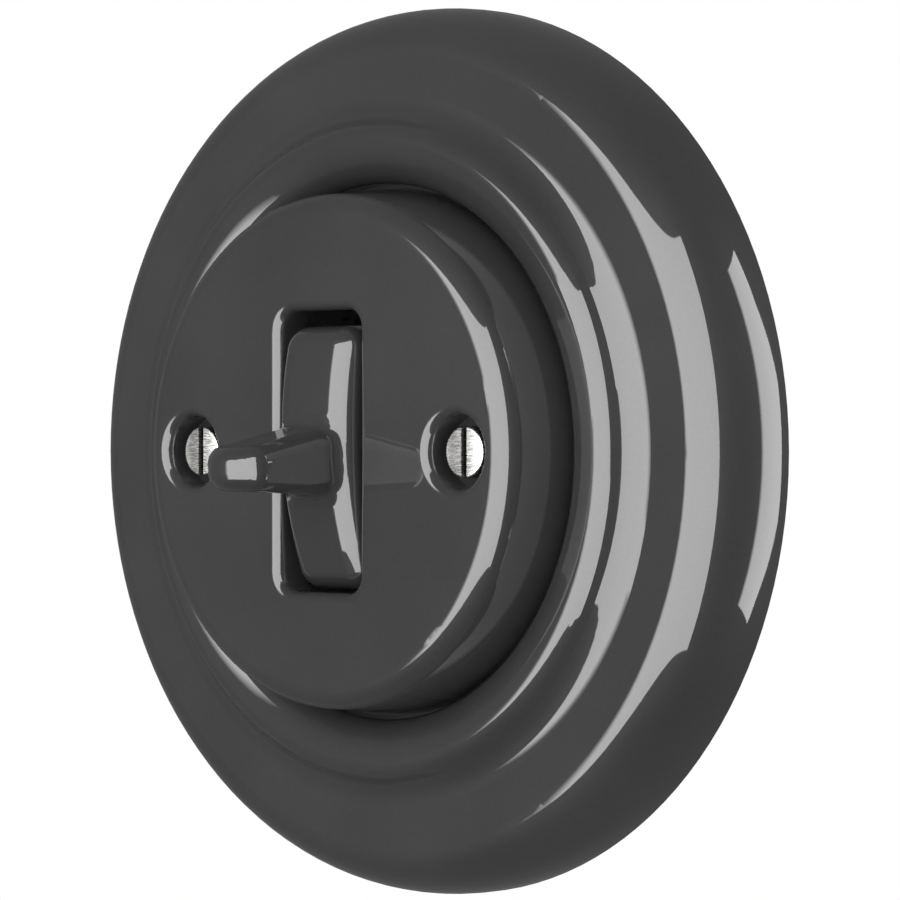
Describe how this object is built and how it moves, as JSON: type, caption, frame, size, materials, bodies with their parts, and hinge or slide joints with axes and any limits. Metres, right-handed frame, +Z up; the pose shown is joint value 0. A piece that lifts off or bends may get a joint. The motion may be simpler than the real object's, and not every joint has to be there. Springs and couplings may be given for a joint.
{
  "type": "toggle light switch",
  "caption": "Round porcelain wall switch: a wide glazed frame ring, a raised round cover held by slotted screws, and a toggle with a tapered lever in a tall slot.",
  "frame": {"origin": "in the wall plane, midway between the slots for the two box screws, which is on the axis of the round parts", "axes": "X to the right seen from the front, Z up, +Y into the wall, so the front faces -Y; the rest pose is the lever 4.5 degrees below level, as in the picture"},
  "size_m": [0.1, 0.0567, 0.1],
  "materials": {
    "glaze": "smooth dark grey gloss glaze on porcelain",
    "nickel": "bright nickel plate with fine scratches",
    "zinc": "zinc-plated steel, satin",
    "steel": "bright drawn steel",
    "brass": "plain brass, satin",
    "silver": "silver contact metal, satin",
    "moulding": "black thermoset moulding, semi-matt"
  },
  "bodies": {
    "switch": {"frame_ring": "glaze", "cover_plate": "glaze", "cover_screws": "nickel", "cover_posts": "brass", "toggle_axle": "steel", "contact_pin": "brass", "common_terminal": "brass", "upper_contact": "brass", "lower_contact": "brass", "fixed_contact_tips": "silver", "terminal_clamps": "brass", "terminal_screws": "zinc", "switch_base": "moulding", "mechanism_lid": "moulding", "lid_screws": "zinc", "mounting_plate": "zinc"},
    "toggle_lever": {"toggle": "glaze", "toggle_carrier": "moulding", "plunger_spring": "steel"},
    "plunger_pin": {"plunger": "brass"},
    "rocking_contact": {"moving_contact": "brass", "moving_contact_tips": "silver"}
  },
  "joints": [
    {"name": "toggle_swing", "type": "hinge", "parent": "switch", "child": "toggle_lever", "pos_m": [0, -0.009, 0], "axis": [-1, 0, 0], "range_deg": [0, 9]},
    {"name": "plunger_slide", "type": "slide", "parent": "toggle_lever", "child": "plunger_pin", "axis": [0, -0.9969, -0.0785], "range_m": [0, 0.0008], "stiffness_N_per_m": 300, "springref_m": -0.001, "deforming": ["plunger_spring"]},
    {"name": "contact_rock", "type": "hinge", "parent": "switch", "child": "rocking_contact", "pos_m": [0, 0.009, 0], "axis": [1, 0, 0], "range_deg": [0, 12]}
  ],
  "couplings": [
    {"joint": "contact_rock", "follows": "toggle_swing", "ratio": 1.3333}
  ]
}
